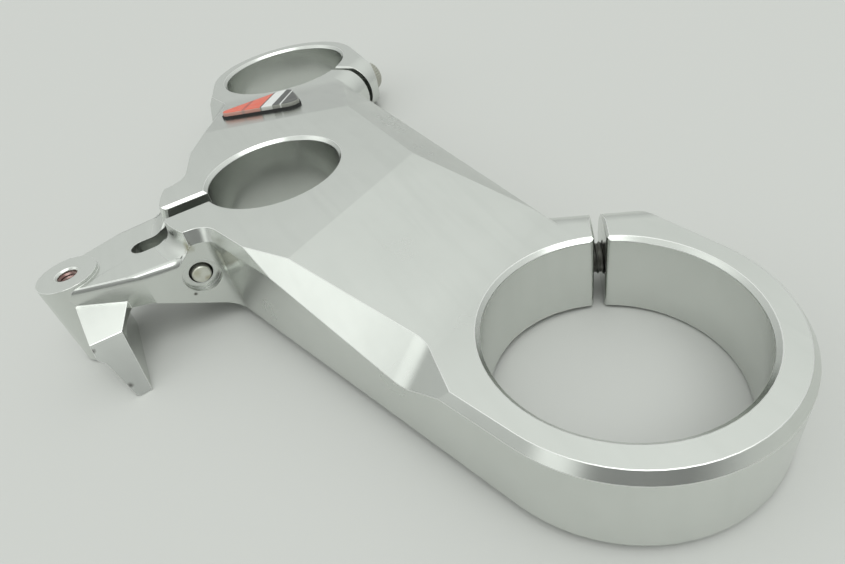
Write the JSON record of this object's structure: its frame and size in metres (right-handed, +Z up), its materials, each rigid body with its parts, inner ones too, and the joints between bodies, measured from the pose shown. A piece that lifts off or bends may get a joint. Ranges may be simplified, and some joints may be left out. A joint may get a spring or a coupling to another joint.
{
  "type": "upper fork yoke",
  "caption": "Upper fork yoke of a motorcycle: split rings clamp the fork tubes and the stem, with a slotted rear arm, a threaded boss, a foot and a small badge.",
  "frame": {"origin": "on the axis of the stem bore, in the plane of the bottom face of the rings", "axes": "+Z up along the stem and fork bores, +Y forwards, towards the split lugs of the fork clamps, +X to the right fork clamp"},
  "size_m": [0.276, 0.1438, 0.0326],
  "materials": {
    "satin_aluminium": "satin blasted and clear anodised, with brighter machined bevels",
    "black_steel": "black oxide",
    "plated_steel": "zinc plated and soiled at the tip",
    "pad_foam": "matt",
    "badge_plastic": "glossy, with plain fields of colour"
  },
  "bodies": {
    "root": {"yoke": "satin_aluminium", "fork_clamp_screws": "black_steel", "stem_clamp_screw": "plated_steel", "badge_pad": "pad_foam", "badge_face": "badge_plastic"}
  },
  "joints": []
}
